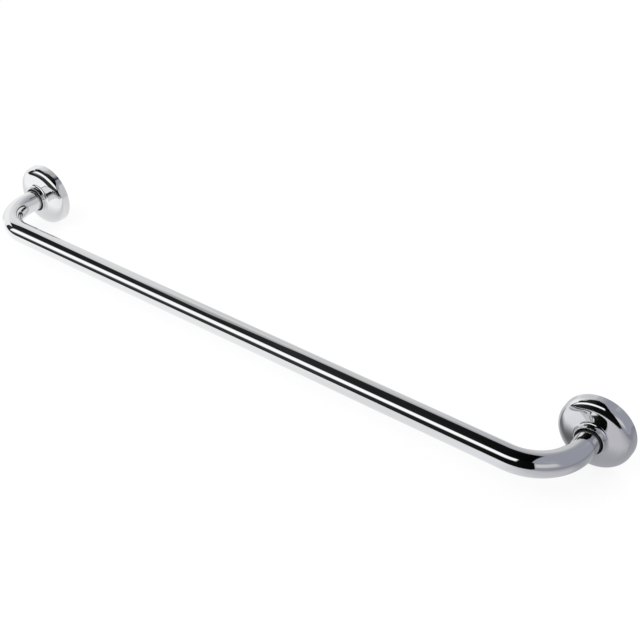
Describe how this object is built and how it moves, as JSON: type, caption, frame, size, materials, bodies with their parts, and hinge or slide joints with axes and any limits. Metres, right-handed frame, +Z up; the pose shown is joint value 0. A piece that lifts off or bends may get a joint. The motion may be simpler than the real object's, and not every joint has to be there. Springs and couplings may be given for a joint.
{
  "type": "towel rail",
  "caption": "Chrome towel rail: a round tube bent back to the wall at both ends, set in domed round roses that hide screwed wall plates.",
  "frame": {"origin": "on the wall plane, midway between the two roses, at the centre of the four wall holes", "axes": "+X along the rail to the right as seen from the room, +Y into the wall, +Z up"},
  "size_m": [0.66, 0.078, 0.06],
  "materials": {
    "tube_chrome": "polished",
    "rose_chrome": "polished",
    "plate_steel": "zinc plated",
    "screw_steel": "plain stainless"
  },
  "bodies": {
    "root": {"rail_tube": "tube_chrome", "left_rose": "rose_chrome", "right_rose": "rose_chrome", "left_wall_plate": "plate_steel", "right_wall_plate": "plate_steel", "left_grub_screw": "screw_steel", "right_grub_screw": "screw_steel"}
  },
  "joints": []
}
